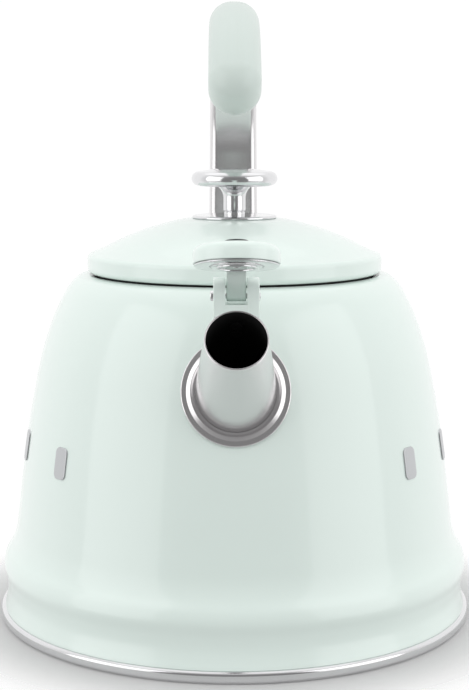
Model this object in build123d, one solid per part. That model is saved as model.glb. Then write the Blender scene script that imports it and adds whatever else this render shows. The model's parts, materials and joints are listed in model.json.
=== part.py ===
from build123d import *
import os
from math import cos, radians, sin

# Stovetop whistling kettle: enamelled steel body with an encapsulated base, a lift-off lid,
# a conical spout closed by a hinged whistle cap, and a one-armed handle over the lid.
# Millimetres, +Z up. The origin is the middle of the base on the table; the spout points to -Y.

wall = 0.8  # sheet of the body and of the lid
curve_steps = 48  # points used where a curve is offset by a sheet thickness

# Body: half outline from the foot up to the crest of the mouth, as (radius, height)
body_outline = [
    (98.3, 4.9), (96.9, 12.4), (98.4, 22.4), (97.5, 26.8), (95.0, 31.0), (93.2, 36.2),
    (91.9, 44.8), (89.8, 61.9), (87.4, 79.0), (84.4, 95.9), (80.7, 112.7), (76.5, 125.4),
    (72.9, 133.5), (69.0, 140.0), (65.4, 143.4), (61.0, 144.4),
]
mouth_radius = 58.5  # clear radius inside the turned-down lip
lip_bottom = 137.5

# Base
base_radius = 100.0
base_ring_height = 4.6
base_sheet = 1.0
core_radius = 95.0
core_top = 5.6
floor_sheet = 0.8
floor_radius = 97.1

# Spout: a cone whose axis climbs towards the mouth
spout_elevation = 33.5
spout_mouth = (0, -119.6, 132.6)
spout_mouth_radius = 11.4
spout_taper = 0.0956  # growth of the radius per millimetre behind the mouth
spout_wall = 0.6
spout_length = 55.0
spout_seat_height = 107.7
flange_radius = 20.7
gasket_thickness = 0.5

# Whistle: fork, pin and cap; the cap is modelled swung open
pivot = (0, -103.0, 146.1)
fork_width = 16.4
fork_slot = 7.7
fork_ear_radius = 6.7
fork_floor = 143.7
tongue_width = 7.1
pin_radius = 1.0
pin_bore = 1.07
bracket_screw_radius = 1.25
bracket_screw_backs = (12.0, 20.0)  # distances behind the mouth
cap_centre = (0, -120.8, 158.5)  # middle of the cap's rim while open
cap_tilt = 13.5  # lean of the open cap, front edge up
cap_radius = 15.2
cap_shoulder = 6.6
cap_crown = 7.8
cap_hollow = 5.2  # top of the space inside the cap
face_neck_radius = 13.4
face_bottom = -1.2
cup_radius = 7.0
disc_radius = 5.8
vent_radius = 3.2

# Lid: half outline from the rolled rim up to the flat seat of the knob
lid_dome = [
    (59.8, 153.0), (54.9, 155.0), (48.4, 158.2), (40.7, 161.5), (30.6, 164.7), (23.5, 166.5),
]
lid_radius = 61.6
lid_bottom = 145.2
lid_top = 167.2
lid_seat_radius = 18.0
knob_hole_radius = 3.1
skirt_radius = 55.6
skirt_bottom = 134.0
liner_bottom = 146.0
liner_top = 146.6

# Knob
knob_plate_radius = 17.7
knob_plate_top = 168.5
knob_stem_top = 180.7
knob_disc_radius = 18.0
knob_disc_top = 188.0
knob_screw_radius = 2.9
knob_screw_top = 177.0

# Handle: centreline in the YZ plane, a long top arc and a tighter arc down into the arm
grip_centre = (30.0, 160.0)
grip_arc = 86.0
grip_front_angle = 44.0  # from the vertical, towards the spout
grip_back_angle = 30.0
grip_width = 21.2
grip_depth = 24.0
bend_arc = 45.0
joint_angle = 42.0  # where grip and arm meet, above the horizontal through the bend's centre
arm_thickness = 7.5
arm_lean = 6.0
arm_width_top = 21.6
arm_width_bottom = 24.0
foot_top = 130.0
foot_bottom = 103.0
handle_seat_height = 115.5
handle_screw_spacing = 13.0
handle_screw_depth = 7.0
screw_radius = 2.4

# Plain tiles in relief on both sides
tile_height = 74.5
tile_size = (7.5, 12.5)
tile_corner = 2.2
tile_relief = 0.6
tile_angles = (51, 77, 103, 129)  # from the spout round towards the handle


def rz(points):
    """Points of a half outline, (radius, height), in the XZ plane."""
    return [(radius, 0, height) for radius, height in points]


def yz(points):
    """Points of a side view, (depth, height), in the YZ plane."""
    return [(0, depth, height) for depth, height in points]


def lathe(points):
    """Solid of revolution about Z from a closed half outline with straight sides."""
    return revolve(make_face(Polyline(*rz(points), close=True)), Axis.Z)


def ring(inner, outer, bottom, top):
    """Plain ring, or a disc when the inner radius is nought."""
    return lathe([(inner, bottom), (outer, bottom), (outer, top), (inner, top)])


def beside(curve, distance):
    """Curve lying a distance to the left of another one, seen in the XZ plane."""
    points = []
    for step in range(curve_steps + 1):
        place = curve @ (step / curve_steps)
        along = curve % (step / curve_steps)
        points.append((place.X - along.Z * distance, 0, place.Z + along.X * distance))
    return Spline(*points)


def sheet(curve, thickness):
    """Revolved sheet-metal part: the curve is its outer side."""
    inner = beside(curve, thickness)
    ends = [Line(curve @ 0, inner @ 0), Line(curve @ 1, inner @ 1)]
    return revolve(make_face([*curve.edges(), inner, *ends]), Axis.Z)


def body_wall():
    """Outer side of the body from the foot to the crest of the mouth."""
    return Spline(*rz(body_outline), tangents=[(-0.2, 0, 1), (-1, 0, 0)])


def body_block(grow):
    """Solid filling the body's wall, its surface moved outwards by grow."""
    side = beside(body_wall(), -grow)
    low, high = side @ 0, side @ 1
    caps = [Line((0, 0, low.Z), low), Line(high, (0, 0, high.Z)), Line((0, 0, low.Z), (0, 0, high.Z))]
    return revolve(make_face([side, *caps]), Axis.Z)


def wall_layer(low, high):
    """Revolved layer between two surfaces that lie low and high above the body's wall."""
    inner, outer = beside(body_wall(), -low), beside(body_wall(), -high)
    ends = [Line(inner @ 0, outer @ 0), Line(inner @ 1, outer @ 1)]
    return revolve(make_face([inner, outer, *ends]), Axis.Z)


def wall_frame(height, angle):
    """Place on the body's wall, its Z the outward normal, its X level; angle from the spout."""
    curve = body_wall()
    low, high = 0.0, 1.0
    for _ in range(40):
        middle = (low + high) / 2
        if (curve @ middle).Z < height:
            low = middle
        else:
            high = middle
    place, along = curve @ low, curve % low
    on_wall = Plane(origin=(place.X, 0, place.Z), x_dir=(0, 1, 0), z_dir=(along.Z, 0, -along.X))
    return Rot(0, 0, angle - 90) * on_wall.location


def spout_frame():
    """Place across the spout's mouth, its Z pointing out along the axis."""
    rise = radians(spout_elevation)
    return Plane(origin=spout_mouth, x_dir=(1, 0, 0), z_dir=(0, -cos(rise), sin(rise))).location


def cap_frame():
    """Place of the open cap's rim, its Z pointing to the cap's top."""
    lean = radians(cap_tilt)
    return Plane(origin=cap_centre, x_dir=(1, 0, 0), z_dir=(0, sin(lean), cos(lean))).location


def spout_cone(grow, near, far):
    """Solid cone of the spout between two distances behind its mouth."""
    near_radius = spout_mouth_radius + spout_taper * near + grow
    far_radius = spout_mouth_radius + spout_taper * far + grow
    cone = lathe([(0, -far), (far_radius, -far), (near_radius, -near), (0, -near)])
    return spout_frame() * cone


def cross_rod(centre, radius, start, end):
    """Rod along X between two X positions."""
    face = Plane(origin=(start, centre[1], centre[2]), z_dir=(1, 0, 0)) * Circle(radius)
    return extrude(face, amount=end - start)


def side_plate(points, width):
    """Plate across X from a closed outline with straight sides in the YZ plane."""
    face = make_face(Polyline(*yz(points), close=True))
    return extrude(face, amount=width / 2, dir=(1, 0, 0), both=True)


# ---- Body and base ----


def handle_screw_places():
    """Places of the two screws through the back wall, Z pointing outwards."""
    seat = wall_frame(handle_seat_height, 180)
    half = handle_screw_spacing / 2
    return [seat * Pos(0, offset, 0) for offset in (-half, half)]


def body_shell():
    side = body_wall()
    crest = side @ 1
    turn = crest.X - mouth_radius
    middle = (crest.X - turn * sin(radians(45)), 0, crest.Z - turn * (1 - cos(radians(45))))
    corner = (mouth_radius, 0, crest.Z - turn)
    lip = Line(corner, (mouth_radius, 0, lip_bottom))
    shell = sheet(Wire([side, ThreePointArc(crest, middle, corner), lip]), wall)
    shell -= spout_cone(0.3, 30, 62)
    for place in handle_screw_places():
        shell -= place * Cylinder(screw_radius + 0.2, 12)
    return shell


def kettle_floor():
    return ring(0, floor_radius, core_top, core_top + floor_sheet)


def base_core():
    return ring(0, core_radius, base_sheet, core_top)


def base_cap():
    """Steel cup under the core: a flat bottom and the bright ring round the foot."""
    inner = core_radius + 1.0
    cup = lathe([
        (0, 0), (base_radius, 0), (base_radius, base_ring_height), (inner, base_ring_height),
        (inner, base_sheet), (0, base_sheet),
    ])
    rims = [edge for edge in cup.edges().filter_by(GeomType.CIRCLE) if edge.radius > base_radius - 0.1]
    return fillet(rims, 1.2)


def tile_row(side):
    """Rounded tiles in relief, following the curve of the wall."""
    tiles = []
    relief = wall_layer(0, tile_relief)
    for angle in tile_angles:
        blank = extrude(RectangleRounded(*tile_size, tile_corner), amount=4, both=True)
        tiles += (relief & (wall_frame(tile_height, side * angle) * blank)).solids()
    return Compound(children=tiles)


# ---- Spout ----


def spout_tube():
    bore = spout_cone(-spout_wall, -1, spout_length + 1)
    tube = spout_cone(0, 0, spout_length) - bore
    for place in bracket_screw_places():
        tube -= place * ring(0, bracket_screw_radius, -20, 0)
    return tube


def spout_flange():
    """Trim ring with a flat border and a raised crest, cut to the wall behind."""
    steps = lathe([
        (0, -6), (flange_radius, -6), (flange_radius, 1.2), (18.9, 1.3), (17.2, 2.4), (16.4, 1.9),
        (0, 1.9),
    ])
    blank = wall_frame(spout_seat_height, 0) * steps
    return blank - body_block(gasket_thickness) - spout_cone(0, 30, 62)


def spout_gasket():
    blank = wall_frame(spout_seat_height, 0) * Cylinder(flange_radius - 0.5, 12)
    return (blank & wall_layer(0, gasket_thickness)) - spout_cone(0, 30, 62)


def spout_lock_ring():
    """Ring inside the body that clamps the spout's flange against the wall."""
    blank = wall_frame(spout_seat_height, 0) * ring(0, flange_radius - 0.7, -5.0, 2)
    return (blank & wall_layer(-wall - 1.6, -wall)) - spout_cone(0, 30, 62)


# ---- Whistle ----


def whistle_bracket():
    """Fork standing on the spout: two ears with a slot for the cap's tongue."""
    _, pivot_y, pivot_z = pivot
    outline = [
        (pivot_y - fork_ear_radius, pivot_z), (pivot_y - fork_ear_radius - 0.6, 139.6),
        (pivot_y + 9.5, 128.6), (pivot_y + 9.5, 134.0), (pivot_y + 6.2, pivot_z + 3.6),
    ]
    web = side_plate(outline, fork_width)
    fork = web + cross_rod(pivot, fork_ear_radius, -fork_width / 2, fork_width / 2)
    slot = Pos(0, pivot_y, fork_floor + 15) * Box(fork_slot, 40, 30)
    fork -= slot + cross_rod(pivot, pin_radius, -10, 10)
    for place in bracket_screw_places():
        fork -= place * Cylinder(bracket_screw_radius, 40)
    return (fork - spout_cone(0, 0, 62)).solids().sort_by(SortBy.VOLUME)[-1]


def bracket_screw_places():
    """Places on the spout's upper wall, Z leaving the spout at right angles to its axis."""
    return [spout_frame() * (Pos(0, 0, -back) * Rot(90, 0, 0)) for back in bracket_screw_backs]


def bracket_screws():
    """Two short screws from inside the spout up into the fork."""
    screws = []
    for back, place in zip(bracket_screw_backs, bracket_screw_places()):
        inner = spout_mouth_radius + spout_taper * back - spout_wall
        shank = ring(0, bracket_screw_radius, -inner - 3.0, -inner + 0.6)
        head = ring(0, 2.4, -inner + 0.5, -inner + 1.3)
        screws += (place * (shank + head)).solids()
    return Compound(children=screws)


def hinge_pin():
    half = fork_width / 2
    shank = cross_rod(pivot, pin_radius, -half, half + 0.8)
    return shank + fillet(cross_rod(pivot, 2.1, -half - 1.3, -half).edges(), 0.4)


def pin_retainer():
    half = fork_width / 2
    return cross_rod(pivot, 2.1, half, half + 0.5) - cross_rod(pivot, pin_radius, half, half + 2)


def whistle_arm():
    """Tongue from the pin up the back of the cap."""
    _, pivot_y, pivot_z = pivot
    outline = [
        (pivot_y - 2.0, pivot_z), (pivot_y - 4.4, pivot_z + 10.0), (pivot_y - 3.4, pivot_z + 12.6),
        (pivot_y - 0.8, pivot_z + 11.4), (pivot_y + 2.0, pivot_z),
    ]
    tongue = side_plate(outline, tongue_width)
    tongue += cross_rod(pivot, 2.05, -tongue_width / 2, tongue_width / 2)
    tongue -= cross_rod(pivot, pin_bore, -10, 10)
    return tongue - cap_frame() * ring(0, cap_radius, face_bottom - 0.4, 20)


def whistle_cap():
    """Painted mushroom cap, hollow, with an outlet hole in its crown."""
    outline = [(vent_radius, 0), (cap_radius, 0), (cap_radius, cap_shoulder), (vent_radius, cap_crown)]
    outer = lathe(outline)
    shoulder = outer.edges().filter_by(GeomType.CIRCLE).filter_by(lambda edge: edge.radius > 15)
    cap = fillet(shoulder.sort_by(Axis.Z)[-1], 3.2)
    return cap_frame() * (cap - ring(0, face_neck_radius, -1, cap_hollow))


def vent_ring():
    profile = [
        (vent_radius - 0.9, cap_hollow), (vent_radius, cap_hollow),
        (vent_radius, cap_crown), (4.1, cap_crown), (3.9, cap_crown + 0.5),
        (vent_radius - 0.9, cap_crown + 0.5),
    ]
    return cap_frame() * lathe(profile)


def cap_face():
    """Steel disc under the cap, its neck pressed into the cap's rim."""
    profile = [
        (cup_radius, face_bottom), (14.8, face_bottom), (14.8, face_bottom + 0.8),
        (face_neck_radius, face_bottom + 0.8), (face_neck_radius, 1.6), (cup_radius, 1.6),
    ]
    return cap_frame() * lathe(profile)


def whistle_cup():
    """Stepped steel cup that centres in the spout's mouth and holds the two whistle discs."""
    profile = [
        (2.6, face_bottom - 1.0), (cup_radius, face_bottom - 1.0), (cup_radius, face_bottom - 0.4),
        (9.0, face_bottom - 0.4), (9.0, face_bottom), (cup_radius, face_bottom),
        (cup_radius, 4.6), (disc_radius, 4.6), (disc_radius, -0.4),
        (disc_radius - 0.6, -0.4), (disc_radius - 0.6, face_bottom - 0.2), (2.6, face_bottom - 0.2),
    ]
    return cap_frame() * lathe(profile)


def whistle_disc(height):
    """Thin disc with the small middle hole that the steam sounds through."""
    return cap_frame() * ring(1.2, disc_radius, height, height + 0.5)


def disc_spacer():
    return cap_frame() * ring(disc_radius - 0.6, disc_radius, 0.1, 3.6)


# ---- Lid and knob ----


def lid_shell():
    rolled = ThreePointArc(*rz([(60.5, lid_bottom), (61.3, 146.1), (lid_radius, 147.5)]))
    band = Line(*rz([(lid_radius, 147.5), (lid_radius, 150.8)]))
    edge = ThreePointArc(*rz([(lid_radius, 150.8), (61.1, 152.2), lid_dome[0]]))
    dome = Spline(*rz(lid_dome + [(lid_seat_radius, lid_top)]), tangents=[(-0.9, 0, 0.4), (-1, 0, 0)])
    seat = Line(*rz([(lid_seat_radius, lid_top), (knob_hole_radius, lid_top)]))
    return sheet(Wire([rolled, band, edge, dome, seat]), wall)


def lid_liner():
    return ring(0, 60.0, liner_bottom, liner_top)


def lid_skirt():
    return ring(skirt_radius - wall, skirt_radius, skirt_bottom, liner_bottom)


def lid_gasket():
    """Silicone ring round the skirt with a lip under the lid's rim."""
    profile = [
        (skirt_radius, 140.0), (skirt_radius + 1.0, 140.0), (57.8, 143.6), (57.8, 144.9),
        (59.6, 144.9), (59.6, liner_bottom), (skirt_radius, liner_bottom),
    ]
    return lathe(profile)


def knob_plate():
    plate = ring(0, knob_plate_radius, lid_top, knob_plate_top)
    plate = fillet(plate.edges().sort_by(Axis.Z)[-1], 0.5)
    return plate - ring(0, knob_hole_radius, 160, 170)


def knob_stem():
    """Waisted stem with a collar at its foot and a flare under the disc."""
    foot = [
        Line(*rz([(0, knob_plate_top), (4.3, knob_plate_top)])),
        Line(*rz([(4.3, knob_plate_top), (4.3, 169.7)])),
        Line(*rz([(4.3, 169.7), (3.8, 170.0)])),
        Line(*rz([(3.8, 170.0), (4.6, 170.4)])),
    ]
    waist = Line(*rz([(4.6, 170.4), (4.6, 175.0)]))
    flare = ThreePointArc(*rz([(4.6, 175.0), (5.4, 178.4), (7.7, knob_stem_top)]))
    axis = Polyline(*rz([(7.7, knob_stem_top), (0, knob_stem_top), (0, knob_plate_top)]))
    stem = revolve(make_face([*foot, waist, flare, *axis.edges()]), Axis.Z)
    return stem - ring(0, knob_screw_radius, 160, knob_screw_top)


def knob_disc():
    """Disc with a round edge and a slightly crowned top."""
    middle = (knob_stem_top + knob_disc_top) / 2 - 0.6
    shoulder = (15.0, knob_disc_top - 1.5)
    crown = ThreePointArc(*rz([(0, knob_disc_top), (7.5, knob_disc_top - 0.35), shoulder]))
    edge = ThreePointArc(*rz([shoulder, (knob_disc_radius, middle), (15.0, knob_stem_top)]))
    rest = Polyline(*rz([(15.0, knob_stem_top), (0, knob_stem_top), (0, knob_disc_top)]))
    return revolve(make_face([crown, edge, *rest.edges()]), Axis.Z)


def knob_screw():
    head = ring(0, 5.0, lid_top - wall - 4.4, lid_top - wall - 1.0)
    return head + ring(0, knob_screw_radius, lid_top - wall - 2, knob_screw_top)


def knob_washer():
    return ring(knob_screw_radius, 6.5, lid_top - wall - 1.0, lid_top - wall)


# ---- Handle ----


def arc_place(centre, radius, angle):
    """Point on a circle in the YZ plane, angle from the vertical towards the back."""
    turn = radians(angle)
    return (centre[0] + radius * sin(turn), centre[1] + radius * cos(turn))


def bend_centre():
    """Centre of the tighter arc that carries on smoothly from the top arc."""
    return arc_place(grip_centre, grip_arc - bend_arc, grip_back_angle)


def handle_frame(centre, radius, angle):
    """Place on one of the handle's arcs: X across, Y towards the arc's centre, Z along the handle."""
    across, up = arc_place(centre, radius, angle)
    turn = radians(angle)
    return Plane(origin=(0, across, up), x_dir=(1, 0, 0), z_dir=(0, cos(turn), -sin(turn))).location


def section_at(centre, radius, angle, width, depth, corner):
    """Rounded cross-section of the handle, square to its centreline."""
    return handle_frame(centre, radius, angle) * RectangleRounded(width, depth, corner)


def arc_axis(centre):
    """Axis along X through the centre of one of the handle's arcs."""
    return Axis((0, centre[0], centre[1]), (1, 0, 0))


def grip():
    """Painted grip: an even arc with a round nose, narrowing behind to the arm."""
    start = section_at(grip_centre, grip_arc, -grip_front_angle, grip_width, grip_depth, 9.5)
    bar = revolve(start, arc_axis(grip_centre), -(grip_front_angle + grip_back_angle))
    half = RectangleRounded(grip_width, grip_depth, 9.5) & Pos(grip_width / 2, 0) * Rectangle(grip_width, 50)
    nose = handle_frame(grip_centre, grip_arc, -grip_front_angle) * revolve(half, Axis.Y, 180)
    taper = [
        section_at(bend_centre(), bend_arc, grip_back_angle, grip_width, grip_depth, 9.5),
        section_at(bend_centre(), bend_arc, 39.0, grip_width, 17.5, 7.5),
        section_at(bend_centre(), bend_arc, 90 - joint_angle, arm_width_top, arm_thickness + 1.5, 3.5),
    ]
    body = bar + nose + loft(taper)
    return body - grip_core() - grip_screw()


def grip_core():
    """Steel strip inside the grip, let into the top of the arm."""
    start = section_at(grip_centre, grip_arc, 10 - grip_front_angle, 12.0, 4.0, 1.0)
    front = revolve(start, arc_axis(grip_centre), -(grip_front_angle + grip_back_angle - 10))
    bend = section_at(bend_centre(), bend_arc, grip_back_angle, 12.0, 4.0, 1.0)
    back = revolve(bend, arc_axis(bend_centre()), -(100 - joint_angle - grip_back_angle))
    return front + back


def grip_screw():
    """Screw from under the grip up into the steel strip."""
    angle = 16 - grip_front_angle
    across, up = arc_place(grip_centre, grip_arc, angle)
    turn = radians(angle)
    frame = Plane(origin=(0, across, up), x_dir=(1, 0, 0), z_dir=(0, sin(turn), cos(turn)))
    depth = grip_depth / 2
    return frame.location * (ring(0, 3.2, -depth + 0.6, -depth + 3.4) + ring(0, 1.6, -depth + 3, -2.1))


def handle_arm():
    """Polished arm from the foot on the back wall up to the grip."""
    centre = bend_centre()
    half = arm_thickness / 2
    outer, inner = bend_arc + half, bend_arc - half
    joint, low = 90 - joint_angle, 90 + arm_lean
    middle = (joint + low) / 2
    outer_points = [arc_place(centre, outer, angle) for angle in (joint, middle, low)]
    inner_points = [arc_place(centre, inner, angle) for angle in (low, middle, joint)]
    lean = radians(arm_lean)
    drop = outer_points[-1][1] - foot_bottom - 6
    heel = (outer_points[-1][0] - drop * sin(lean) / cos(lean), foot_bottom + 6)
    reach = inner_points[0][1] - foot_top - 5
    throat = (inner_points[0][0] - reach * sin(lean) / cos(lean), foot_top + 5)
    sides = [
        ThreePointArc(*yz(outer_points)), Line(*yz([outer_points[-1], heel])),
        Polyline(*yz([heel, (heel[0] - 5, foot_bottom), (70, foot_bottom), (70, foot_top)])),
        Polyline(*yz([(70, foot_top), (throat[0] - 4, foot_top), throat])),
        Line(*yz([throat, inner_points[0]])), ThreePointArc(*yz(inner_points)),
        Line(*yz([inner_points[-1], outer_points[0]])),
    ]
    plate = extrude(make_face(sides), amount=20, dir=(1, 0, 0), both=True)
    arm = plate & front_taper()
    arm = arm - body_block(gasket_thickness) - grip_core()
    for place in handle_screw_places():
        arm -= place * ring(0, screw_radius, -5, handle_screw_depth)
    return arm


def front_taper():
    """Block that gives the arm its width, a little wider towards the foot."""
    top, bottom = 240.0, foot_bottom - 2
    low, high = arm_width_bottom / 2, arm_width_top / 2
    corners = [(-low, 60, bottom), (low, 60, bottom), (high, 60, top), (-high, 60, top)]
    face = make_face(Polyline(*corners, close=True))
    return extrude(face, amount=60, dir=(0, 1, 0))


def handle_gasket():
    seat = wall_frame(handle_seat_height, 180)
    blank = seat * extrude(RectangleRounded(21.0, 24.0, 2), amount=6, both=True)
    pad = blank & wall_layer(0, gasket_thickness)
    for place in handle_screw_places():
        pad -= place * Cylinder(screw_radius, 12)
    return pad


def handle_screws():
    """Two screws from inside the body into the arm's foot."""
    screws = []
    for place in handle_screw_places():
        head = ring(0, 4.4, -6.2, -3.2)
        screws += (place * (head + ring(0, screw_radius, -4, handle_screw_depth))).solids()
    return Compound(children=screws)


def handle_backing_plate():
    """Curved steel pad inside the body under the heads of the two screws."""
    seat = wall_frame(handle_seat_height, 180)
    blank = seat * extrude(RectangleRounded(18.0, 25.0, 3), amount=6, both=True)
    pad = blank & wall_layer(-wall - 1.5, -wall)
    for place in handle_screw_places():
        pad -= place * Cylinder(screw_radius, 16)
    return pad


sub_parts = {
    "body_shell": body_shell(),
    "kettle_floor": kettle_floor(),
    "base_core": base_core(),
    "base_cap": base_cap(),
    "relief_tiles_right": tile_row(1),
    "relief_tiles_left": tile_row(-1),
    "spout_tube": spout_tube(),
    "spout_flange": spout_flange(),
    "spout_gasket": spout_gasket(),
    "spout_lock_ring": spout_lock_ring(),
    "whistle_bracket": whistle_bracket(),
    "bracket_screws": bracket_screws(),
    "hinge_pin": hinge_pin(),
    "pin_retainer": pin_retainer(),
    "handle_arm": handle_arm(),
    "handle_gasket": handle_gasket(),
    "handle_screws": handle_screws(),
    "handle_backing_plate": handle_backing_plate(),
    "grip": grip(),
    "grip_core": grip_core(),
    "grip_screw": grip_screw(),
    "lid_shell": lid_shell(),
    "lid_liner": lid_liner(),
    "lid_skirt": lid_skirt(),
    "lid_gasket": lid_gasket(),
    "knob_plate": knob_plate(),
    "knob_stem": knob_stem(),
    "knob_disc": knob_disc(),
    "knob_screw": knob_screw(),
    "knob_washer": knob_washer(),
    "whistle_arm": whistle_arm(),
    "whistle_cap": whistle_cap(),
    "vent_ring": vent_ring(),
    "cap_face": cap_face(),
    "whistle_cup": whistle_cup(),
    "whistle_disc_inner": whistle_disc(-0.4),
    "whistle_disc_outer": whistle_disc(3.6),
    "disc_spacer": disc_spacer(),
}

os.makedirs("parts", exist_ok=True)
for name, solid in sub_parts.items():
    export_step(solid, f"parts/{name}.step")
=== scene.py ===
import json
import math
import bmesh
import bpy
import numpy as np
from mathutils import Matrix, Vector


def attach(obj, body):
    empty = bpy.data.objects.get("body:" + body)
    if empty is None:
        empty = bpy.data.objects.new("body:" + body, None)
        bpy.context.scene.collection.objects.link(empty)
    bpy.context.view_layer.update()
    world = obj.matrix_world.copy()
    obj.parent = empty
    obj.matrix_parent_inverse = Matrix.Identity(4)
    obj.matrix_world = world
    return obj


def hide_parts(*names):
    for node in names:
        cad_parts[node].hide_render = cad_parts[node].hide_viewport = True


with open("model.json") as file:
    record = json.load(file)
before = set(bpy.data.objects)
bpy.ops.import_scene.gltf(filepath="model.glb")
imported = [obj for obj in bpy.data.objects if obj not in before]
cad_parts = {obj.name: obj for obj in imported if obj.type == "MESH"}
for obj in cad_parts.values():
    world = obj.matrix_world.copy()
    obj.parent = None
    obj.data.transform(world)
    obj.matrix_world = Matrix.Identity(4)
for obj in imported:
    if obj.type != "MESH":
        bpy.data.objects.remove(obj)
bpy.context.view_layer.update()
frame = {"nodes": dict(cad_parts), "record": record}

mm = 0.001
scene = bpy.context.scene


def smoothLine(points, steps=10):
    # Catmull-Rom curve through the points, chord-length spaced, as one array of places
    p = np.array(points, float)
    p = np.vstack([2 * p[0] - p[1], p, 2 * p[-1] - p[-2]])
    gaps = np.sqrt(np.linalg.norm(np.diff(p, axis=0), axis=1))
    t = np.concatenate([[0], np.cumsum(gaps)])
    spans = []
    for i in range(1, len(p) - 2):
        s = np.linspace(t[i], t[i + 1], steps, endpoint=False)[:, None]
        a1 = (t[i] - s) / (t[i] - t[i - 1]) * p[i - 1] + (s - t[i - 1]) / (t[i] - t[i - 1]) * p[i]
        a2 = (t[i + 1] - s) / (t[i + 1] - t[i]) * p[i] + (s - t[i]) / (t[i + 1] - t[i]) * p[i + 1]
        a3 = ((t[i + 2] - s) / (t[i + 2] - t[i + 1]) * p[i + 1]
              + (s - t[i + 1]) / (t[i + 2] - t[i + 1]) * p[i + 2])
        b1 = (t[i + 1] - s) / (t[i + 1] - t[i - 1]) * a1 + (s - t[i - 1]) / (t[i + 1] - t[i - 1]) * a2
        b2 = (t[i + 2] - s) / (t[i + 2] - t[i]) * a2 + (s - t[i]) / (t[i + 2] - t[i]) * a3
        spans.append((t[i + 1] - s) / (t[i + 1] - t[i]) * b1 + (s - t[i]) / (t[i + 1] - t[i]) * b2)
    return np.vstack(spans + [p[-2:-1]])


def roundedLine(corners, steps=6):
    # broken line through (x, y, radius) corners, each corner swapped for an arc of its radius
    c = [np.array(corner[:2], float) for corner in corners]
    out = [c[0]]
    for i in range(1, len(c) - 1):
        radius = corners[i][2] if len(corners[i]) > 2 else 0
        back, ahead = c[i - 1] - c[i], c[i + 1] - c[i]
        lb, la = np.linalg.norm(back), np.linalg.norm(ahead)
        back, ahead = back / lb, ahead / la
        half = math.acos(max(-1, min(1, float(back @ ahead)))) / 2
        if radius <= 0 or half > 1.55:
            out.append(c[i])
            continue
        reach = min(radius / math.tan(half), 0.49 * lb, 0.49 * la)
        radius = reach * math.tan(half)
        middle = c[i] + (back + ahead) / np.linalg.norm(back + ahead) * radius / math.sin(half)
        start, end = c[i] + back * reach - middle, c[i] + ahead * reach - middle
        turn = math.acos(max(-1, min(1, float(start @ end) / radius ** 2)))
        for k in range(steps + 1):
            s = k / steps
            mix = (math.sin((1 - s) * turn) * start + math.sin(s * turn) * end) / math.sin(turn)
            out.append(middle + mix)
    return np.array(out + [c[-1]])


def arcLine(start, middle, end, steps=8):
    # circular arc through three points
    (ax, ay), (bx, by), (cx, cy) = start, middle, end
    d = 2 * (ax * (by - cy) + bx * (cy - ay) + cx * (ay - by))
    ux = ((ax**2 + ay**2) * (by - cy) + (bx**2 + by**2) * (cy - ay) + (cx**2 + cy**2) * (ay - by)) / d
    uy = ((ax**2 + ay**2) * (cx - bx) + (bx**2 + by**2) * (ax - cx) + (cx**2 + cy**2) * (bx - ax)) / d
    angles = np.unwrap([math.atan2(y - uy, x - ux) for x, y in (start, middle, end)])
    turn = np.linspace(angles[0], angles[2], steps + 1)
    radius = math.hypot(ax - ux, ay - uy)
    return np.stack([ux + radius * np.cos(turn), uy + radius * np.sin(turn)], 1)


def joinLines(*lines):
    # several lines as one, without doubled points
    points = np.vstack(lines)
    keep = np.concatenate([[True], np.linalg.norm(np.diff(points, axis=0), axis=1) > 1e-5])
    return points[keep]


def beside(line, distance):
    # the same line moved to its left by a distance
    along = np.gradient(line, axis=0)
    along /= np.linalg.norm(along, axis=1)[:, None]
    return line + np.stack([-along[:, 1], along[:, 0]], 1) * distance


def makeMesh(name, points, faces, sharp=50):
    # vertices and faces as a piece: doubles merged, faces outwards, edges above an angle left sharp
    mesh = bpy.data.meshes.new(name)
    mesh.from_pydata(points.tolist(), [], faces.tolist())
    work = bmesh.new()
    work.from_mesh(mesh)
    bmesh.ops.remove_doubles(work, verts=work.verts, dist=1e-7)
    bmesh.ops.dissolve_degenerate(work, edges=work.edges, dist=1e-7)
    bmesh.ops.recalc_face_normals(work, faces=work.faces)
    work.to_mesh(mesh)
    work.free()
    mesh.shade_smooth()
    mesh.set_sharp_from_angle(angle=math.radians(sharp))
    piece = bpy.data.objects.new(name, mesh)
    scene.collection.objects.link(piece)
    return piece


def gridFaces(rows, columns, closeRows=False):
    # quads of a grid whose columns close on themselves, and whose rows may
    i = np.arange(rows if closeRows else rows - 1)[:, None]
    j = np.arange(columns)[None, :]
    a, b = i * columns + j, i * columns + (j + 1) % columns
    c, d = ((i + 1) % rows) * columns + (j + 1) % columns, ((i + 1) % rows) * columns + j
    return np.stack([a, b, c, d], -1).reshape(-1, 4)


def lathePoints(section, turns):
    # each (radius, height) of the section turned about Z
    turn = np.arange(turns) * 2 * math.pi / turns
    radius, height = section[:, 0][:, None], section[:, 1][:, None]
    return np.stack([radius * np.sin(turn), -radius * np.cos(turn), height + 0 * turn], -1)


def placePoints(points, place):
    # millimetre points moved by a place matrix and turned into metres
    spin = np.array(place.to_3x3())
    shift = np.array(place.to_translation())
    return (points.reshape(-1, 3) @ spin.T + shift) * mm


def lathe(name, section, turns=96, place=Matrix(), closed=True, reshape=None, sharp=50):
    # surface of revolution; closed joins the section's end to its start, as for a tube wall
    points = lathePoints(np.array(section, float), turns)
    if reshape:
        points = reshape(points)
    return makeMesh(name, placePoints(points, place), gridFaces(len(section), turns, closed), sharp)


def sheetSection(line, thickness):
    # closed section of sheet metal whose outer side is the line
    return joinLines(line, beside(line, thickness)[::-1])


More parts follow.
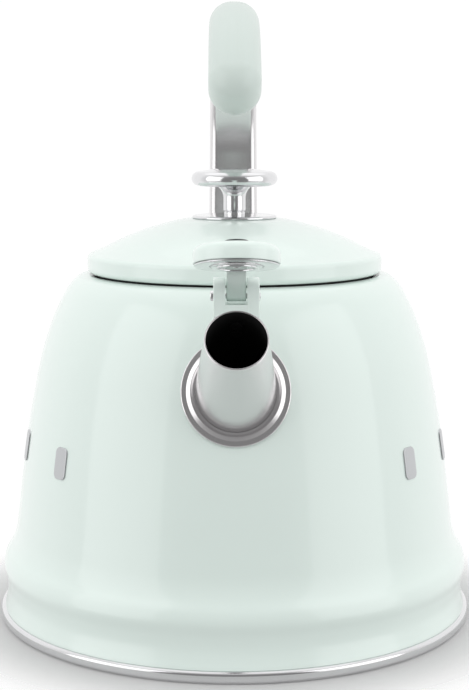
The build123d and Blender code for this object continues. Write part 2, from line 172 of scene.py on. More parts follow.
def frameAt(origin, zDir, xDir=(1, 0, 0)):
    # place matrix from an origin and two directions
    z = Vector(zDir).normalized()
    x = Vector(xDir)
    y = z.cross(x).normalized()
    x = y.cross(z)
    spin = Matrix((x, y, z)).transposed()
    return Matrix.Translation(origin) @ spin.to_4x4()


def roundedRing(halfWidth, halfDepth, corner, count=48):
    # points round a rounded rectangle: four corner arcs, each stepped evenly by angle
    quarter = np.linspace(0, math.pi / 2, count // 4)
    out = []
    for k, (sx, sy) in enumerate([(1, 1), (-1, 1), (-1, -1), (1, -1)]):
        turn = quarter + k * math.pi / 2
        centre = np.array([sx * (halfWidth - corner), sy * (halfDepth - corner)])
        out.append(centre + corner * np.stack([np.cos(turn), np.sin(turn)], 1))
    return np.vstack(out)


def roundedPlate(name, outline, low, high, edge, steps=5):
    # closed outline in the YZ plane carried along X, its rims rounded: each ring near an end lies further in
    outline = np.array(outline, float)
    along = np.roll(outline, -1, 0) - np.roll(outline, 1, 0)
    along /= np.linalg.norm(along, axis=1)[:, None]
    inward = np.stack([-along[:, 1], along[:, 0]], 1)
    middle = outline.mean(0)
    inward *= np.sign(((middle - outline) * inward).sum())
    turn = np.linspace(0, math.pi / 2, steps)
    depth = np.concatenate([[edge], edge * (1 - np.sin(turn)), edge * (1 - np.cos(turn)), [edge]])
    lowRim, highRim = low + edge * (1 - np.cos(turn)), high - edge * (1 - np.sin(turn))
    across = np.concatenate([[low], lowRim, highRim, [high]])
    shrink = np.ones(len(across))
    shrink[[0, -1]] = 0
    rings = middle + (outline + inward * depth[:, None, None] - middle) * shrink[:, None, None]
    points = np.concatenate([np.broadcast_to(across[:, None, None], (*rings.shape[:2], 1)), rings], -1)
    return makeMesh(name, placePoints(points, Matrix()), gridFaces(len(points), len(outline)), 60)


def joinPieces(name, pieces):
    # several pieces as one, their faces kept as they are
    work = bmesh.new()
    for piece in pieces:
        work.from_mesh(piece.data)
        bpy.data.objects.remove(piece)
    mesh = bpy.data.meshes.new(name)
    work.to_mesh(mesh)
    work.free()
    mesh.set_sharp_from_angle(angle=math.radians(40))
    joined = bpy.data.objects.new(name, mesh)
    scene.collection.objects.link(joined)
    return joined


def carve(piece, tool):
    # the tool's shape cut out of the piece, and the tool thrown away
    change = piece.modifiers.new("carve", "BOOLEAN")
    change.operation, change.object, change.solver = "DIFFERENCE", tool, "EXACT"
    settle(piece)
    bpy.data.objects.remove(tool)


def settle(piece):
    # the piece's modifiers worked into its mesh
    depsgraph = bpy.context.evaluated_depsgraph_get()
    mesh = bpy.data.meshes.new_from_object(piece.evaluated_get(depsgraph))
    piece.modifiers.clear()
    piece.data = mesh


class Value:
    # a shader socket that takes part in sums, so that an expression builds Math nodes
    def __init__(self, paint, socket):
        self.paint, self.socket = paint, socket

    def math(self, operation, other, swap=False):
        ends = [other, self] if swap else [self, other]
        return self.paint.node("ShaderNodeMath", {"operation": operation}, ends)

    def __add__(self, other): return self.math("ADD", other)
    def __radd__(self, other): return self.math("ADD", other, True)
    def __sub__(self, other): return self.math("SUBTRACT", other)
    def __rsub__(self, other): return self.math("SUBTRACT", other, True)
    def __mul__(self, other): return self.math("MULTIPLY", other)
    def __rmul__(self, other): return self.math("MULTIPLY", other, True)
    def __truediv__(self, other): return self.math("DIVIDE", other)


class Paint:
    # one material: its tree, its shader and a single way to add nodes
    def __init__(self, name):
        self.material = bpy.data.materials.new(name)
        self.material.use_nodes = True
        self.tree = self.material.node_tree
        self.shader = self.tree.nodes["Principled BSDF"]
        self.place = self.node("ShaderNodeTexCoord", {}, [], "Object")

    def node(self, kind, settings, inputs, output=0):
        node = self.tree.nodes.new(kind)
        for key, setting in settings.items():
            if key == "stops":
                ramp = node.color_ramp.elements
                for i, (at, colour) in enumerate(setting):
                    stop = ramp[i] if i < 2 else ramp.new(at)
                    stop.position, stop.color = at, (*colour, 1)
            else:
                setattr(node, key, setting)
        pairs = inputs.items() if isinstance(inputs, dict) else enumerate(inputs)
        for key, given in pairs:
            if isinstance(given, Value):
                self.tree.links.new(given.socket, node.inputs[key])
            else:
                node.inputs[key].default_value = given
        return Value(self, node.outputs[output])

    def noise(self, scale, detail=2.0, place=None, roughness=0.5):
        inputs = {"Vector": place or self.place, "Scale": scale, "Detail": detail, "Roughness": roughness}
        return self.node("ShaderNodeTexNoise", {}, inputs)

    def stretch(self, scale):
        return self.node("ShaderNodeMapping", {}, {"Vector": self.place, "Scale": scale})

    def blendColour(self, factor, low, high):
        inputs = {"Factor": factor, 6: (*low, 1), 7: (*high, 1)}
        return self.node("ShaderNodeMix", {"data_type": "RGBA"}, inputs, 2)

    def feed(self, name, value):
        self.tree.links.new(value.socket, self.shader.inputs[name])

    def bump(self, height, depth, strength=1.0):
        inputs = {"Height": height, "Distance": depth, "Strength": strength}
        self.feed("Normal", self.node("ShaderNodeBump", {}, inputs))

    def set(self, **values):
        for key, value in values.items():
            self.shader.inputs[key.replace("_", " ")].default_value = value


def enamelPaint(name, look):
    # glossy paint: faint cloudiness of colour, orange-peel ripple and a clear coat
    paint = Paint(name)
    cloud = paint.noise(look["cloudScale"], 3)
    paint.feed("Base Color", paint.blendColour(cloud, look["deep"], look["pale"]))
    paint.feed("Roughness", look["roughness"] + paint.noise(60, 2) * 0.06)
    paint.bump(paint.noise(look["peelScale"], 1), look["peelDepth"], 0.5)
    paint.set(Coat_Weight=look["coat"], Coat_Roughness=look["coatRoughness"], Specular_IOR_Level=0.5)
    return paint.material


def steelPaint(name, look):
    # polished or brushed steel: fine drawn lines in the roughness, slow change of tone
    paint = Paint(name)
    lines = paint.noise(1.0, 3, paint.stretch(look["lines"]))
    tone = paint.noise(35, 2)
    paint.feed("Base Color", paint.blendColour(tone, look["dark"], look["light"]))
    paint.feed("Roughness", look["roughness"] + lines * look["spread"])
    paint.bump(lines, look["grain"], 0.35)
    paint.set(Metallic=1.0)
    return paint.material


def dullPaint(name, look):
    # rubber, dark plastic and the near-black painted shade inside the spout: matt with a fine moulded grain
    paint = Paint(name)
    grain = paint.noise(look["grainScale"], 4)
    paint.feed("Base Color", paint.blendColour(grain, look["dark"], look["light"]))
    paint.feed("Roughness", look["roughness"] + grain * 0.12)
    paint.bump(grain, look["grain"], 0.5)
    return paint.material


enamelLook = {
    "deep": (0.74, 0.84, 0.795), "pale": (0.755, 0.855, 0.81), "cloudScale": 18, "roughness": 0.32,
    "peelScale": 520, "peelDepth": 0.00002, "coat": 0.8, "coatRoughness": 0.09,
}
# the grip's satin paint: the body's mint made darker, partly painted shade standing in for the shade the
# lamps leave on the grip
gripPaintAndShadeLook = dict(
    enamelLook, deep=(0.61, 0.69, 0.65), pale=(0.625, 0.705, 0.665), roughness=0.42, coat=0.35,
    coatRoughness=0.25, peelDepth=0.00003,
)
polishedLook = {
    "dark": (0.74, 0.74, 0.75), "light": (0.78, 0.78, 0.79), "lines": (1200, 1200, 160),
    "roughness": 0.10, "spread": 0.06, "grain": 0.000004,
}
satinLook = {
    "dark": (0.765, 0.75, 0.757), "light": (0.795, 0.78, 0.787), "lines": (900, 900, 120),
    "roughness": 0.22, "spread": 0.04, "grain": 0.000001,
}
brushedLook = {
    "dark": (0.52, 0.53, 0.54), "light": (0.60, 0.61, 0.62), "lines": (200, 200, 3000),
    "roughness": 0.28, "spread": 0.14, "grain": 0.00001,
}
innerLook = {
    "dark": (0.50, 0.50, 0.51), "light": (0.58, 0.58, 0.58), "lines": (120, 120, 1600),
    "roughness": 0.30, "spread": 0.15, "grain": 0.00001,
}
aluminiumLook = dict(innerLook, dark=(0.70, 0.70, 0.71), light=(0.76, 0.76, 0.77), roughness=0.4)
rubberLook = {"dark": (0.012, 0.012, 0.012), "light": (0.03, 0.03, 0.03), "grainScale": 900,
              "roughness": 0.55, "grain": 0.00002}
# near-black, used as painted shade inside the spout rather than as a finish of the steel
paintedShadeLook = dict(rubberLook, dark=(0.003, 0.003, 0.003), light=(0.005, 0.005, 0.005), roughness=0.8)
plasticLook = dict(rubberLook, dark=(0.02, 0.02, 0.022), light=(0.04, 0.04, 0.042), roughness=0.42)

paints = {
    "body_enamel": enamelPaint("body_enamel", enamelLook),
    "grip_paint": enamelPaint("grip_paint", gripPaintAndShadeLook),
    "polished_steel": steelPaint("polished_steel", polishedLook),
    "satin_steel": steelPaint("satin_steel", satinLook),
    "brushed_steel": steelPaint("brushed_steel", brushedLook),
    "inner_steel": steelPaint("inner_steel", innerLook),
    "core_aluminium": steelPaint("core_aluminium", aluminiumLook),
    "seal_rubber": dullPaint("seal_rubber", rubberLook),
    "dark_plastic": dullPaint("dark_plastic", plasticLook),
}
for part in frame["record"]["subparts"]:
    node = frame["nodes"][part["node"]]
    if not node.material_slots:
        node.data.materials.append(None)
    for materialSlot in node.material_slots:
        materialSlot.material = paints[part["material_slot"]]
paints["paintedShadeBlack"] = dullPaint("paintedShadeBlack", paintedShadeLook)  # near-black painted shade: stands in for the shade deep inside the spout's steel tube, and hides the screws there
frame["nodes"]["bracket_screws"].material_slots[0].material = paints["paintedShadeBlack"]
print("materials ready")


def finishPiece(piece, slot, body, *nodes, second=None):
    # paint, body and the CAD nodes a piece stands for
    piece.data.materials.clear()
    piece.data.materials.append(paints[slot])
    if second:
        piece.data.materials.append(paints[second])
    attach(piece, body)
    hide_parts(*nodes)
    return piece


shell = {
    "outline": [
        (98.3, 4.9), (97.4, 8.6), (96.9, 12.4), (97.3, 17.0), (98.4, 22.4), (97.5, 26.8), (95.0, 31.0),
        (93.2, 36.2), (91.9, 44.8), (89.8, 61.9), (87.4, 79.0), (84.4, 95.9), (80.7, 112.7),
        (76.5, 125.4), (72.9, 133.5), (69.0, 140.0), (65.4, 143.4), (61.0, 144.4),
    ],
    "mouth": 58.5, "lipBottom": 137.5, "wall": 0.8, "turns": 256, "insideTop": 143.0,
}
wallLine = smoothLine(shell["outline"], 8)


def wallRadius(height):
    # radius of the body's outer side at a height
    return np.interp(height, wallLine[:, 1], wallLine[:, 0])


def buildShell():
    # foot, bead, tapering wall, shoulder and turned-in lip in one sheet
    crest, mouth = shell["outline"][-1], shell["mouth"]
    turn = crest[0] - mouth
    half = 0.7071  # sine of 45 degrees, for the middle of the quarter turn
    bend = (crest[0] - turn * half, crest[1] - turn * (1 - half))
    lip = joinLines(arcLine(crest, bend, (mouth, crest[1] - turn)),
                    np.array([(mouth, crest[1] - turn), (mouth, shell["lipBottom"])]))
    outer = joinLines(wallLine, lip)
    section = sheetSection(outer, shell["wall"])
    piece = lathe("bodyShell", section, shell["turns"])
    finishPiece(piece, "body_enamel", "kettle", "body_shell", second="inner_steel")
    middles = np.array([face.center[:] for face in piece.data.polygons]) / mm
    radii = np.hypot(middles[:, 0], middles[:, 1])
    below = middles[:, 2] < shell["insideTop"]
    inside = below & (radii < wallRadius(middles[:, 2]) - shell["wall"] / 2)
    lipFaces = (radii < mouth + 0.5) & (middles[:, 2] > shell["lipBottom"] - 0.5)
    piece.data.polygons.foreach_set("material_index", (inside & ~lipFaces).astype(np.int32))
    hole = lathe("holeTool", spoutSection(0.3, 30, 62), 96, spoutPlace, closed=False)
    carve(piece, hole)
    piece.data.shade_smooth()
    piece.data.set_sharp_from_angle(angle=math.radians(40))
    return piece


spout = {
    "mouth": (0, -119.6, 132.6), "rise": 33.5, "radius": 11.4, "taper": 0.0956, "wall": 0.6,
    "length": 55.0, "seat": 107.7, "seatTilt": 13.2, "flangeBack": 45.1, "flatten": (0.019, 0.072),
    "boreShare": 0.075,
}
spoutRise = math.radians(spout["rise"])
spoutPlace = frameAt(spout["mouth"], (0, -math.cos(spoutRise), math.sin(spoutRise)))


def spoutSection(grow, near, far):
    # solid cone between two distances behind the mouth, from pole to pole
    radii = [spout["radius"] + spout["taper"] * back + grow for back in (near, far)]
    return [(0, -near), (radii[0], -near), (radii[1], -far), (0, -far)]


def easeCone(points):
    # the cone's section flattens a little on the way back, so that it meets the flange in a circle
    share = -points[..., 2:] / spout["flangeBack"]
    points[..., :2] *= 1 - share * np.array(spout["flatten"])
    return points


def buildSpout():
    # conical tube with a fine round on the mouth's edge
    radius, wall, length = spout["radius"], spout["wall"], spout["length"]
    far = radius + spout["taper"] * length
    section = roundedLine([
        (far - wall, -length), (radius - wall, 0, 0.25), (radius, 0, 0.25), (far, -length),
    ], 4)
    back = np.linspace(0, 1, 40)[:, None]
    section = joinLines(section[:1] * (1 - back) + section[1] * back, section[1:-1],
                        section[-2] * (1 - back) + section[-1:] * back)
    piece = lathe("spoutTube", section, 160, spoutPlace, reshape=easeCone)
    finishPiece(piece, "satin_steel", "kettle", "spout_tube", second="paintedShadeBlack")
    # the faces inside the tube take the second paint: near-black painted shade in place of the shade deep in
    # the steel bore
    middles = np.array([face.center[:] for face in piece.data.polygons])
    local = (middles / mm - np.array(spout["mouth"])) @ np.array(spoutPlace.to_3x3())
    radii = np.hypot(local[:, 0], local[:, 1])
    share = 1 + np.minimum(local[:, 2], 0) / spout["flangeBack"] * spout["boreShare"]
    inner = radii < (radius - spout["taper"] * local[:, 2] - wall / 2 - 0.05) * share
    piece.data.polygons.foreach_set("material_index", (inner & (local[:, 2] < -0.3)).astype(np.int32))
    return piece


flange = {
    "outline": [
        (15.3, -1.0), (15.3, 1.7), (16.2, 1.85, 0.5), (17.0, 2.25, 0.25), (18.6, 1.25, 0.3),
        (20.35, 1.1, 0.15), (20.7, 0.8, 0.2), (20.7, -1.0),
    ],
    "across": 164.0, "along": 470.0,
}


def buildFlange():
    # stepped ring whose back follows the two curvatures of the wall
    def onWall(points):
        back = points[..., 2] < -0.5
        sink = -points[..., 0] ** 2 / flange["across"] - points[..., 1] ** 2 / flange["along"] - 0.3
        points[..., 2] = np.where(back, sink, points[..., 2])
        return points
    radius = float(wallRadius(spout["seat"]))
    tilt = math.radians(spout["seatTilt"])
    place = frameAt((0, -radius, spout["seat"]), (0, -math.cos(tilt), math.sin(tilt)))
    piece = lathe("spoutFlange", roundedLine(flange["outline"], 5), 160, place, reshape=onWall)
    return finishPiece(piece, "satin_steel", "kettle", "spout_flange")


base = {
    "outline": [
        (0, 0), (60, 0), (99.0, 0, 0.6), (100, 1.3, 1.0), (100, 4.0, 1.4), (98.9, 4.85, 0.5), (96.6, 4.85),
        (96.0, 1.0), (0, 1.0),
    ],
}


def buildBase():
    # flat bottom and bright ring of the base cup
    piece = lathe("baseCup", roundedLine(base["outline"], 8), 256, closed=False)
    return finishPiece(piece, "polished_steel", "kettle", "base_cap")


tile = {"size": (7.5, 12.5), "corner": 2.2, "relief": 0.6, "height": 74.5, "angles": (51, 77, 103, 129)}


def buildTile(angle):
    # rounded plate in relief: rings of a rounded rectangle shrink to its middle while the edge rises
    edge = roundedRing(tile["size"][0] / 2, tile["size"][1] / 2, tile["corner"], 48)
    spread = np.array([1.0, 1.0, 0.985, 0.955, 0.9, 0.6, 0.3, 0.0])
    rise = np.array([-0.35, 0.62, 0.86, 0.97, 1.0, 1.0, 1.0, 1.0]) * tile["relief"]
    across = spread[:, None] * edge[:, 0]
    height = tile["height"] + spread[:, None] * edge[:, 1]
    radius = wallRadius(height) + rise[:, None]
    turn = math.radians(angle) + across / radius
    return np.stack([radius * np.sin(turn), -radius * np.cos(turn), height], -1)


def buildTiles(side, name, node):
    # four tiles of one side as one piece
    points = [buildTile(side * angle) for angle in tile["angles"]]
    rows, columns = points[0].shape[:2]
    faces = [gridFaces(rows, columns) + k * rows * columns for k in range(len(points))]
    grid = np.concatenate([p.reshape(-1, 3) for p in points]) * mm
    piece = makeMesh(name, grid, np.vstack(faces), 60)
    return finishPiece(piece, "brushed_steel", "kettle", node)


buildShell()
buildSpout()
buildFlange()
buildBase()
buildTiles(1, "reliefTilesRight", "relief_tiles_right")
buildTiles(-1, "reliefTilesLeft", "relief_tiles_left")
print("body, base and spout built")


lid = {
    "rim": [(60.5, 145.2), (61.2, 145.9), (61.6, 147.5)],
    "band": [(61.6, 147.5), (61.6, 150.8)],
    "edge": [(61.6, 150.8), (61.1, 152.2), (59.8, 153.0)],
    "dome": [
        (59.8, 153.0), (54.9, 155.0), (48.4, 158.2), (40.7, 161.5), (30.6, 164.7), (23.5, 166.5),
        (18.0, 167.2), (10.0, 167.25), (3.1, 167.2),
    ],
    "wall": 0.8, "turns": 224,
}


def buildLid():
    # rolled rim, upright band, rounded edge and dome in one sheet
    rim, edge, dome = arcLine(*lid["rim"]), arcLine(*lid["edge"]), smoothLine(lid["dome"], 8)
    line = joinLines(rim, np.array(lid["band"]), edge, dome)
    piece = lathe("lidShell", sheetSection(line, lid["wall"]), lid["turns"])
    return finishPiece(piece, "body_enamel", "lid", "lid_shell")


knob = {
    "plate": [
        (0, 167.15), (17.0, 167.15, 0.2), (17.7, 167.4, 0.3), (17.7, 168.1, 0.35), (16.9, 168.5, 0.5),
        (0, 168.55),
    ],
    "stem": [
        (0, 168.5), (4.3, 168.5), (4.3, 169.75, 0.25), (3.9, 169.95, 0.1), (3.9, 170.15, 0.1),
        (4.6, 170.4, 0.2), (4.6, 175.2),
    ],
    "flare": [(4.6, 175.2), (5.3, 178.4), (7.7, 180.8)],
    "discTop": 188.0, "discLow": 180.7, "discRadius": 18.0, "shoulder": 15.0, "crown": 1.3,
}


def buildKnob():
    # thin plate on the lid, waisted stem and a round-edged disc with a crowned top
    plate = lathe("knobPlate", roundedLine(knob["plate"], 4), 128, closed=False)
    finishPiece(plate, "polished_steel", "lid", "knob_plate")
    flare = arcLine(*knob["flare"], 12)
    stem = joinLines(roundedLine(knob["stem"], 4), flare, np.array([(0, knob["flare"][-1][1])]))
    finishPiece(lathe("knobStem", stem, 96, closed=False), "polished_steel", "lid", "knob_stem")
    top, low, wide, flat = knob["discTop"], knob["discLow"], knob["discRadius"], knob["shoulder"]
    under = np.array([(0, low), (flat * 0.6, low), (flat, low)])
    edge = arcLine((flat, low), (wide, (low + top - knob["crown"]) / 2), (flat, top - knob["crown"]), 20)
    crown = arcLine((flat, top - knob["crown"]), (flat / 2, top - knob["crown"] / 4), (0, top), 12)
    finishPiece(lathe("knobDisc", joinLines(under, edge, crown), 160, closed=False), "polished_steel", "lid",
                "knob_disc")


buildLid()
buildKnob()
print("lid and knob built")


handle = {
    "gripCentre": (30.0, 160.0), "gripArc": 86.0, "frontAngle": 44.0, "backAngle": 30.0,
    "gripWidth": 21.2, "gripDepth": 24.0, "gripCorner": 9.5, "bendArc": 45.0, "jointAngle": 48.0,
    "armThickness": 7.5, "armLean": 6.0, "armTop": 21.6, "armBottom": 24.0, "armCorner": 3.6,
    "footTop": 131.0, "footBottom": 103.0,
}


def arcPlace(centre, radius, angle):
    # point in the YZ plane, angle in degrees from the vertical towards the back
    turn = np.radians(angle)
    return np.stack([centre[0] + radius * np.sin(turn), centre[1] + radius * np.cos(turn)], -1)


bendCentre = tuple(arcPlace(handle["gripCentre"], handle["gripArc"] - handle["bendArc"], handle["backAngle"]))


def buildGrip():
    # rounded section carried along two arcs: behind it flattens to the arm, in front it turns into a nose
    wide, deep = handle["gripWidth"] / 2, handle["gripDepth"] / 2
    top = np.linspace(-handle["frontAngle"], handle["backAngle"], 60)
    bend = np.linspace(handle["backAngle"], handle["jointAngle"], 24)[1:]
    arch = arcPlace(handle["gripCentre"], handle["gripArc"], top)
    path = np.vstack([arch, arcPlace(bendCentre, handle["bendArc"], bend)])
    angles = np.radians(np.concatenate([top, bend]))
    fade = np.clip((np.degrees(angles) - 14) / (handle["jointAngle"] - 14), 0, 1)
    fade = fade * fade * (3 - 2 * fade)
    halfWide = wide + (handle["armTop"] / 2 + 0.25 - wide) * fade
    halfDeep = deep + (handle["armThickness"] / 2 + 0.8 - deep) * fade
    corner = handle["gripCorner"] + (3.4 - handle["gripCorner"]) * fade
    rings = np.stack([roundedRing(w, d, c, 64) for w, d, c in zip(halfWide, halfDeep, corner)])
    tangent = np.stack([np.cos(angles), -np.sin(angles)], -1)
    normal = np.stack([np.sin(angles), np.cos(angles)], -1)
    spine = path[:, None, :] + rings[..., 1:2] * normal[:, None, :]
    bar = np.concatenate([rings[..., 0:1], spine], -1)
    swing = np.radians(np.linspace(90, 0, 16))[:-1, None]
    first = rings[0]
    noseX = first[:, 0] * np.cos(swing)
    ahead = np.abs(first[:, 0]) * np.sin(swing)
    noseYZ = path[0] + first[None, :, 1:2] * normal[0] - ahead[..., None] * tangent[0]
    nose = np.concatenate([noseX[..., None], noseYZ], -1)
    shrink = np.array([0.93, 0.75, 0.4, 0.0])[:, None, None]
    rim = bar[-1] + 0.5 * np.array([0, *tangent[-1]])
    middle = np.array([0, *path[-1]]) + 0.5 * np.array([0, *tangent[-1]])
    end = middle + (rim - middle) * shrink
    points = np.concatenate([nose, bar, end])
    piece = makeMesh("grip", placePoints(points, Matrix()), gridFaces(len(points), points.shape[1]), 60)
    return finishPiece(piece, "grip_paint", "kettle", "grip")


def buildArm():
    # flat bar with round edges from the grip down the back, widening into a foot that lies on the wall
    half, lean = handle["armThickness"] / 2, math.radians(handle["armLean"])
    bend = np.linspace(handle["jointAngle"] - 1.5, 90 + handle["armLean"], 40)
    outer = arcPlace(bendCentre, handle["bendArc"] + half, bend)
    inner = arcPlace(bendCentre, handle["bendArc"] - half, bend)
    down = np.linspace(0, 1, 60)[1:]
    fall = (outer[-1, 1] - handle["footBottom"]) * down
    outerRun = np.stack([outer[-1, 0] - fall * math.tan(lean), outer[-1, 1] - fall], -1)
    fall = (inner[-1, 1] - handle["footBottom"] - 1.0) * down
    innerRun = np.stack([inner[-1, 0] - fall * math.tan(lean), inner[-1, 1] - fall], -1)
    reach = np.clip((handle["footTop"] + 12 - innerRun[:, 1]) / 18, 0, 1)
    reach = reach * reach * (3 - 2 * reach)
    innerRun[:, 0] += (wallRadius(innerRun[:, 1]) - 0.2 - innerRun[:, 0]) * reach
    outer, inner = np.vstack([outer, outerRun]), np.vstack([inner, innerRun])
    middle, span = (outer + inner) / 2, outer - inner
    depth = np.linalg.norm(span, axis=1) / 2
    normal = span / np.linalg.norm(span, axis=1)[:, None]
    share = np.clip((outer[0, 1] - middle[:, 1]) / (outer[0, 1] - handle["footBottom"]), 0, 1)
    halfWide = (handle["armTop"] + (handle["armBottom"] - handle["armTop"]) * share) / 2
    rings = np.stack([roundedRing(w, d, handle["armCorner"], 48) for w, d in zip(halfWide, depth)])
    points = np.concatenate([rings[..., 0:1], middle[:, None, :] + rings[..., 1:2] * normal[:, None, :]], -1)
    low = points[-1]
    core = np.array([0, *middle[-1]])
    shrink = np.array([0.93, 0.8, 0.4, 0.0])[:, None, None]
    dropIn = np.array([0.7, 1.1, 1.3, 1.3])[:, None, None] * np.array([0, 0, -1.0])
    bottom = core + (low - core) * shrink + dropIn
    crown = np.array([0, *middle[0]])
    top = crown + (points[0] - crown) * np.array([0.0, 0.5])[:, None, None]
    points = np.concatenate([top, points, bottom])
    wall = np.sqrt(np.maximum(wallRadius(points[..., 2]) ** 2 - points[..., 0] ** 2, 1)) - 0.35
    low = points[..., 2] < handle["footTop"] + 4
    points[..., 1] = np.where(low, np.maximum(points[..., 1], wall), points[..., 1])
    piece = makeMesh("handleArm", placePoints(points, Matrix()), gridFaces(len(points), points.shape[1]), 60)
    return finishPiece(piece, "satin_steel", "kettle", "handle_arm")


buildGrip()
buildArm()
print("handle built")


whistle = {
    "pivot": (0, -103.0, 146.1), "forkWidth": 16.4, "slot": 7.7, "ear": 6.7, "floor": 143.7,
    "tongue": 7.1, "capCentre": (0, -120.8, 158.5), "capTilt": 13.5,
    "blade": [
        (1.9, 2.0), (1.0, 7.0, 6), (-0.4, 11.0, 2), (-1.6, 12.6, 1.2), (-3.6, 12.6, 1.0), (-4.6, 10.5, 2),
        (-4.2, 8.0, 4), (-2.3, 2.0),
    ],
}
capLean = math.radians(whistle["capTilt"])
capPlace = frameAt(whistle["capCentre"], (0, math.sin(capLean), math.cos(capLean)))
capShapes = {
    "cap": [
        (13.4, 5.2), (13.4, 0.9), (13.8, 0.5, 0.3), (15.2, 0.5, 0.4), (15.2, 6.6, 3.2), (4.0, 7.75, 6),
        (3.2, 7.8), (3.2, 5.2),
    ],
    "vent": [
        (2.3, 5.3), (3.2, 5.3), (3.2, 7.75), (4.2, 7.7), (4.2, 8.5, 0.15), (4.0, 8.75, 0.2), (2.3, 8.75, 0.2),
    ],
    "face": [
        (7.0, 0.1), (9.3, 0.1), (9.5, -0.3, 0.1), (13.6, -0.3, 0.2), (14.8, -0.15, 0.3), (14.8, 0.3, 0.2),
        (13.4, 0.3), (13.4, 1.9), (7.0, 1.9),
    ],
    "cup": [
        (1.2, -0.5), (1.3, -0.6, 0.05), (6.3, -0.6, 0.1), (6.4, -1.0, 0.1), (6.9, -1.0, 0.1),
        (7.0, -0.6, 0.1), (8.7, -0.6, 0.15), (9.0, -0.4, 0.1), (9.0, 0.1), (7.0, 0.1), (7.0, 4.6),
        (5.8, 4.6), (5.8, 0.1), (1.2, 0.1),
    ],
}


def buildFork():
    # two ears and the saddle between them, each with round rims and cut to the spout's cone
    _, y, z = whistle["pivot"]
    ear, half, slotHalf = whistle["ear"], whistle["forkWidth"] / 2, whistle["slot"] / 2
    turn = np.radians(np.linspace(180, 28, 40))
    head = np.stack([y + ear * np.cos(turn), z + ear * np.sin(turn)], 1)
    low = np.array([(y + 8.6, 134.4), (y + 9.5, 128.6), (y - 7.8, 139.6)])
    rear = y + ear * math.cos(turn[-1]) + 1.6
    saddle = np.vstack([[(y - 7.3, whistle["floor"]), (rear, whistle["floor"])], low])
    plates = [
        roundedPlate("leftEar", np.vstack([head, low]), -half, -slotHalf, 0.45),
        roundedPlate("rightEar", np.vstack([head, low]), slotHalf, half, 0.45),
        roundedPlate("saddle", saddle, -slotHalf - 0.6, slotHalf + 0.6, 0.2),
    ]
    coneLine = spoutSection(-0.1, -2, 62)
    for plate in plates:
        carve(plate, lathe("coneTool", coneLine, 96, spoutPlace, closed=False, reshape=easeCone))
    fork = joinPieces("whistleFork", plates)
    return finishPiece(fork, "body_enamel", "kettle", "whistle_bracket")


def buildTongue():
    # arm from the pin up the back of the cap, with soft edges
    _, y, z = whistle["pivot"]
    turn = np.radians(np.linspace(190, 350, 16))
    hub = np.stack([y + 2.0 * np.cos(turn), z + 2.0 * np.sin(turn)], 1)
    blade = roundedLine(whistle["blade"], 8) + np.array([y, z])
    half = whistle["tongue"] / 2
    tongue = roundedPlate("whistleTongue", np.vstack([hub, blade]), -half, half, 0.45)
    return finishPiece(tongue, "body_enamel", "whistle", "whistle_arm")


def buildCap():
    # painted cap, steel face, stepped cup and dark outlet ring, all turned about the cap's axis
    cap = lathe("whistleCap", roundedLine(capShapes["cap"], 8), 128, capPlace)
    finishPiece(cap, "body_enamel", "whistle", "whistle_cap")
    face = lathe("capFace", roundedLine(capShapes["face"], 4), 128, capPlace)
    finishPiece(face, "polished_steel", "whistle", "cap_face")
    cup = lathe("whistleCup", roundedLine(capShapes["cup"], 4), 96, capPlace)
    finishPiece(cup, "polished_steel", "whistle", "whistle_cup")
    vent = lathe("ventRing", roundedLine(capShapes["vent"], 3), 64, capPlace)
    finishPiece(vent, "dark_plastic", "whistle", "vent_ring")


def buildPin():
    # pin with a flat head on one side and a push-on washer on the other
    half = whistle["forkWidth"] / 2
    place = frameAt(whistle["pivot"], (1, 0, 0), (0, 1, 0))
    section = roundedLine([
        (0, -half - 1.2), (1.8, -half - 1.2, 0.5), (1.9, -half), (1.0, -half), (1.0, half + 0.5, 0.2),
        (0, half + 0.5),
    ], 4)
    finishPiece(lathe("hingePin", section, 48, place, closed=False), "polished_steel", "kettle", "hinge_pin")
    washer = roundedLine([(1.0, half), (2.0, half, 0.1), (2.0, half + 0.3, 0.1), (1.0, half + 0.3)], 4)
    finishPiece(lathe("pinWasher", washer, 48, place), "polished_steel", "kettle", "pin_retainer")


buildFork()
buildTongue()
buildCap()
buildPin()
print("whistle built")


studio = {
    "floor": 1.2, "fadeStart": 0.101, "fadeEnd": 0.14, "cameraHeight": 0.2095, "cameraDistance": 0.659,
    "cameraDip": 8.3, "cameraTurn": 0.36, "lens": 81.9, "target": (0, 0, 0.1), "backdrop": 1.02,
    "room": {"Y": (-0.85, 0.3, 0.24, 1.02), "Z": (-0.8, -0.5, 0.9, 1.0)},
}


def buildFloor():
    # grey floor with a faint grain whose alpha fades out a few centimetres beyond the base: a painted contact
    # shadow, a grey halo round the kettle fading into the white backdrop, on top of the real shade the floor
    # takes
    paint = Paint("floorWithPaintedShadow")
    grain = paint.noise(3, 2)
    paint.feed("Base Color", paint.blendColour(grain, (0.64, 0.64, 0.64), (0.66, 0.66, 0.66)))
    # alpha from the distance to the middle, so that the grey shows only near the base as painted shadow
    centre = paint.node("ShaderNodeVectorMath", {"operation": "LENGTH"}, [paint.place], 1)
    fade = {"Value": centre, "From Min": studio["fadeEnd"], "From Max": studio["fadeStart"]}
    paint.feed("Alpha", paint.node("ShaderNodeMapRange", {"interpolation_type": "SMOOTHSTEP"}, fade))
    paint.set(Roughness=0.6, Specular_IOR_Level=0.2)
    size = studio["floor"]
    corners = np.array([(-size, -size, 0), (size, -size, 0), (size, size, 0), (-size, size, 0)])
    floor = makeMesh("floor", corners, np.array([[0, 1, 2, 3]]))
    floor.data.materials.append(paint.material)


def addLight(name, place, size, power):
    # soft rectangular light facing the kettle
    data = bpy.data.lights.new(name, "AREA")
    data.shape, data.size, data.size_y, data.energy = "RECTANGLE", size[0], size[1], power
    light = bpy.data.objects.new(name, data)
    light.location = place
    light.rotation_euler = (Vector(studio["target"]) - Vector(place)).to_track_quat("-Z", "Y").to_euler()
    scene.collection.objects.link(light)
    return light


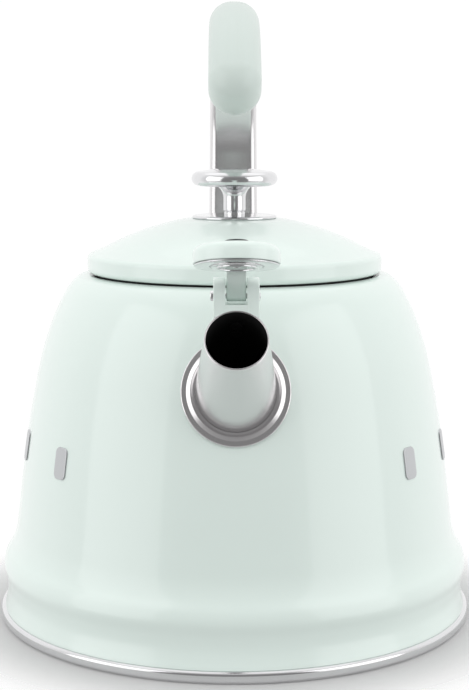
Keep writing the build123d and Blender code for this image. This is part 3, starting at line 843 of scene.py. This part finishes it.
def buildWorld():
    # room light, weaker from the front and from below: two ramps, multiplied. The camera itself
    # sees an even white backdrop instead
    world = bpy.data.worlds.new("studioWorld")
    world.use_nodes = True
    scene.world = world
    tree = world.node_tree
    place = tree.nodes.new("ShaderNodeTexCoord")
    split = tree.nodes.new("ShaderNodeSeparateXYZ")
    both = tree.nodes.new("ShaderNodeMath")
    both.operation = "MULTIPLY"
    tree.links.new(place.outputs["Generated"], split.inputs[0])
    for i, (axis, limits) in enumerate(studio["room"].items()):
        ramp = tree.nodes.new("ShaderNodeMapRange")
        tree.links.new(split.outputs[axis], ramp.inputs["Value"])
        for key, value in zip(("From Min", "From Max", "To Min", "To Max"), limits):
            ramp.inputs[key].default_value = value
        tree.links.new(ramp.outputs[0], both.inputs[i])
    seen = tree.nodes.new("ShaderNodeLightPath")
    pick = tree.nodes.new("ShaderNodeMix")
    tree.links.new(seen.outputs["Is Camera Ray"], pick.inputs["Factor"])
    tree.links.new(both.outputs[0], pick.inputs["A"])
    pick.inputs["B"].default_value = studio["backdrop"]
    tree.links.new(pick.outputs[0], tree.nodes["Background"].inputs["Strength"])
    tree.nodes["Background"].inputs["Color"].default_value = (1, 1, 1, 1)


def buildCamera():
    camera = bpy.data.cameras.new("camera")
    camera.lens, camera.sensor_width, camera.clip_end = studio["lens"], 36, 20
    holder = bpy.data.objects.new("camera", camera)
    turn, away = math.radians(studio["cameraTurn"]), studio["cameraDistance"]
    holder.location = (-away * math.sin(turn), -away * math.cos(turn), studio["cameraHeight"])
    holder.rotation_euler = (math.radians(90 - studio["cameraDip"]), 0, -turn)
    scene.collection.objects.link(holder)
    scene.camera = holder


buildFloor()
buildWorld()
buildCamera()
addLight("leftSoftbox", (-0.9, -0.55, 0.35), (0.9, 1.3), 3.9)
addLight("rightSoftbox", (0.9, -0.55, 0.35), (0.9, 1.3), 3.9)
addLight("topSoftbox", (0, 0.15, 1.3), (1.6, 1.6), 2.2)
frontFill = addLight("frontFill", (0, -1.5, 0.8), (1.4, 0.9), 7.1)
frontFill.visible_glossy = False  # polished steel keeps its dark front
scene.view_settings.view_transform = "Standard"
print("studio ready")
